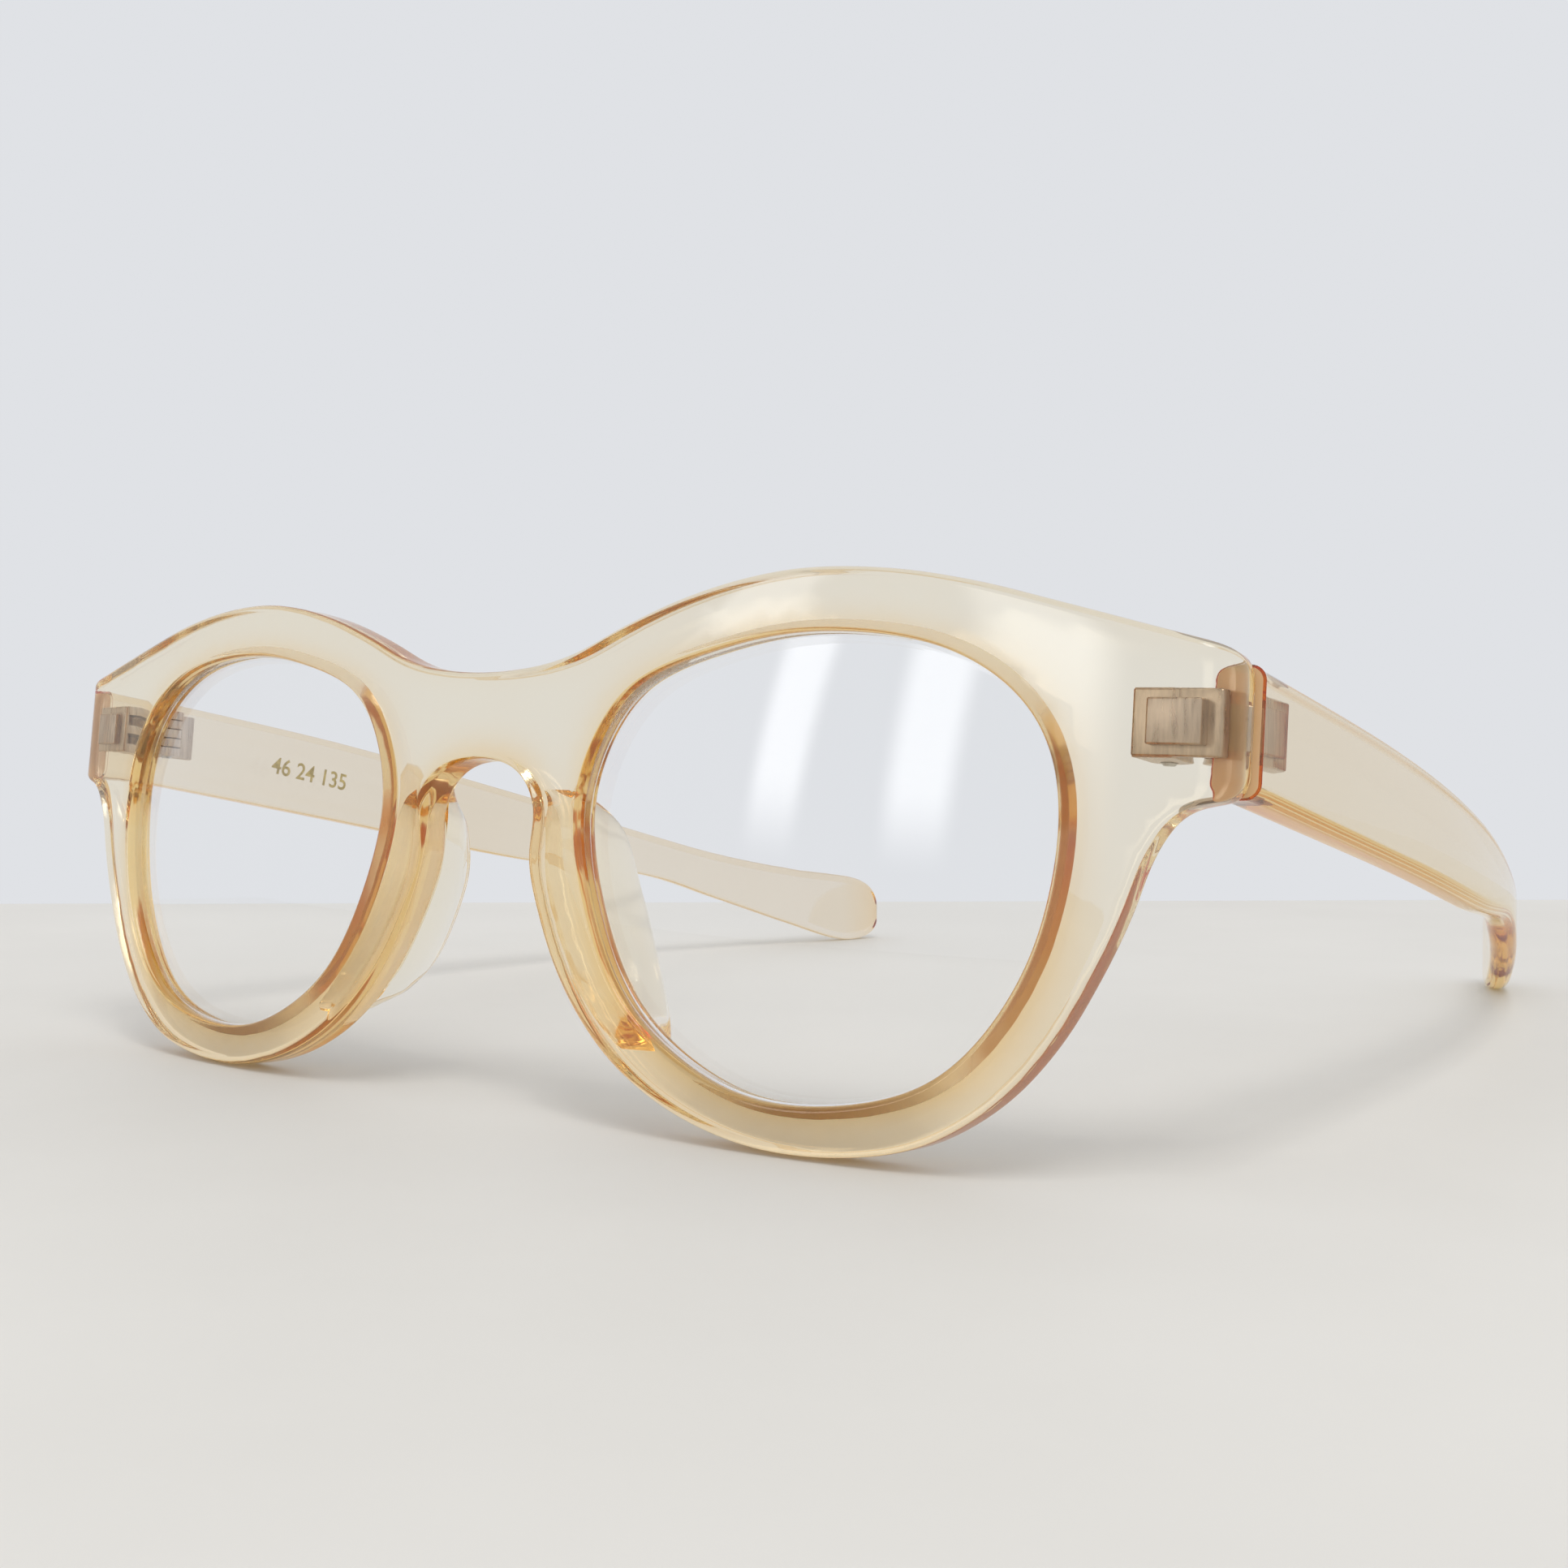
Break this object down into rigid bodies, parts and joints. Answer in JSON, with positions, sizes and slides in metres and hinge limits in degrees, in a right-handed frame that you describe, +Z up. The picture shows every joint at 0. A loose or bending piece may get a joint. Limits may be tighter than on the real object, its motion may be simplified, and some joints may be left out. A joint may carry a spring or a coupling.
{
  "type": "eyeglasses",
  "caption": "Folding eyeglasses with a thick pale see-through acetate frame, keyhole bridge, nose pads and clear lenses.",
  "frame": {"origin": "on the table, at the middle of the footprint of the glasses as they stand open", "axes": "+Z up, +X towards the wearer's left, +Y from the front back along the temples"},
  "size_m": [0.1404, 0.14, 0.0466],
  "materials": {
    "front_acetate": "polished pale champagne acetate, see-through, amber along its edges",
    "temple_acetate": "polished pale champagne acetate, see-through, amber along its edges",
    "pad_acetate": "polished pale champagne acetate, bonded to the front",
    "lens_glass": "clear, uncoloured, polished",
    "hinge_steel": "satin nickel silver, tumbled edges",
    "screw_steel": "bright turned screw with a slotted head",
    "size_print": "gold foil size numbers, pressed into the inner face of a temple"
  },
  "bodies": {
    "front": {"front_frame": "front_acetate", "nose_pad_left": "pad_acetate", "nose_pad_right": "pad_acetate", "lens_left": "lens_glass", "lens_right": "lens_glass", "hinge_front_leaf_left": "hinge_steel", "hinge_front_leaf_right": "hinge_steel", "hinge_screw_left": "screw_steel", "hinge_screw_right": "screw_steel"},
    "left_temple": {"temple_left": "temple_acetate", "hinge_temple_leaf_left": "hinge_steel"},
    "right_temple": {"temple_right": "temple_acetate", "hinge_temple_leaf_right": "hinge_steel"}
  },
  "joints": [
    {"name": "left_temple_fold", "type": "hinge", "parent": "front", "child": "left_temple", "pos_m": [0.06222, -0.05496, 0.03336], "axis": [0, 0.1097, 0.994], "range_deg": [0, 84]},
    {"name": "right_temple_fold", "type": "hinge", "parent": "front", "child": "right_temple", "pos_m": [-0.06222, -0.05496, 0.03336], "axis": [0, -0.1097, -0.994], "range_deg": [0, 78]}
  ]
}
